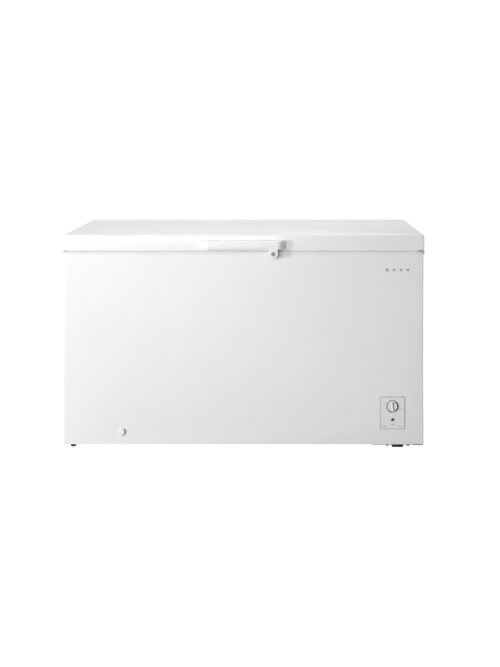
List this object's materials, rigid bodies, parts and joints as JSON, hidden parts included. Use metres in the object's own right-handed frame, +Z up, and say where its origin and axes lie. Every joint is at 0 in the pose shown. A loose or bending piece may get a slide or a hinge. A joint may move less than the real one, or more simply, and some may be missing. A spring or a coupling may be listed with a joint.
{
  "type": "chest freezer",
  "caption": "White chest freezer with a full-width hinged lid, a locking handle, a thermostat panel, a front drain and hanging baskets.",
  "frame": {"origin": "on the floor, under the middle of the overall box", "axes": "+X to the right as seen from the front, -Y out of the front, +Z up"},
  "size_m": [1.435, 0.6794, 0.85],
  "materials": {
    "white_paint": "satin",
    "galvanised": "satin",
    "liner_metal": "satin",
    "trim_plastic": "satin",
    "grip_plastic": "satin",
    "foam": "matte",
    "black_plastic": "matte",
    "rubber_black": "matte",
    "seal_rubber": "matte",
    "copper": "satin",
    "dark_tube": "satin",
    "tube_aluminium": "satin",
    "black_paint": "satin",
    "green_lens": "gloss",
    "coated_wire": "satin",
    "lock_metal": "satin"
  },
  "bodies": {
    "cabinet": {"outer_wrapper": "white_paint", "rear_panel": "galvanised", "base_panel": "galvanised", "machine_bulkhead": "galvanised", "compressor_plate": "galvanised", "rear_machine_cover": "galvanised", "insulation_foam": "foam", "inner_liner": "liner_metal", "top_frame": "trim_plastic", "side_vent_grille": "trim_plastic", "cord_gland": "black_plastic", "evaporator_coil": "tube_aluminium", "condenser_coil": "dark_tube", "compressor": "black_paint", "grommet_front_left": "rubber_black", "grommet_front_right": "rubber_black", "grommet_rear_left": "rubber_black", "grommet_rear_right": "rubber_black", "relay_cover": "black_plastic", "filter_drier": "copper", "suction_line": "copper", "discharge_line": "copper", "capillary_tube": "copper", "thermostat_body": "trim_plastic", "thermostat_bulb": "copper", "wire_harness": "black_plastic", "supply_lead": "black_plastic", "control_panel": "trim_plastic", "power_light": "green_lens", "drain_tube": "trim_plastic", "foot_front_left": "rubber_black", "foot_front_right": "rubber_black", "foot_rear_left": "rubber_black", "foot_rear_right": "rubber_black", "lock_keeper": "lock_metal", "hinge_base_left": "galvanised", "hinge_base_right": "galvanised", "hinge_pin_left": "lock_metal", "hinge_pin_right": "lock_metal", "hinge_spring_left": "lock_metal", "hinge_spring_right": "lock_metal", "hinge_cover_left": "trim_plastic", "hinge_cover_right": "trim_plastic"},
    "lid": {"lid_outer_panel": "white_paint", "lid_foam": "foam", "lid_inner_panel": "trim_plastic", "lid_gasket": "seal_rubber", "lid_handle": "grip_plastic", "hinge_arm_left": "galvanised", "hinge_arm_right": "galvanised"},
    "lock": {"lock_cylinder": "lock_metal", "lock_cam": "lock_metal"},
    "dial": {"thermostat_dial": "trim_plastic"},
    "drain_cap": {"drain_cap": "trim_plastic"},
    "drain_plug": {"drain_plug": "trim_plastic"},
    "basket_left": {"basket_left": "coated_wire"},
    "basket_right": {"basket_right": "coated_wire"}
  },
  "joints": [
    {"name": "lid_hinge", "type": "hinge", "parent": "cabinet", "child": "lid", "pos_m": [0, 0.32975, 0.797], "axis": [-1, 0, 0], "range_deg": [0, 80]},
    {"name": "lock_turn", "type": "hinge", "parent": "lid", "child": "lock", "pos_m": [0.118, -0.31275, 0.779], "axis": [0, 1, 0], "range_deg": [0, 90]},
    {"name": "dial_turn", "type": "hinge", "parent": "cabinet", "child": "dial", "pos_m": [0.5885, -0.30175, 0.173], "axis": [0, 1, 0], "range_deg": [-140, 140]},
    {"name": "drain_cap_pull", "type": "slide", "parent": "cabinet", "child": "drain_cap", "axis": [0, -1, 0], "range_m": [0, 0.03]},
    {"name": "drain_plug_lift", "type": "slide", "parent": "cabinet", "child": "drain_plug", "axis": [0, 0, 1], "range_m": [0, 0.03]},
    {"name": "basket_left_slide", "type": "slide", "parent": "cabinet", "child": "basket_left", "axis": [1, 0, 0], "range_m": [0, 0.335]},
    {"name": "basket_right_slide", "type": "slide", "parent": "cabinet", "child": "basket_right", "axis": [-1, 0, 0], "range_m": [0, 0.335]}
  ]
}
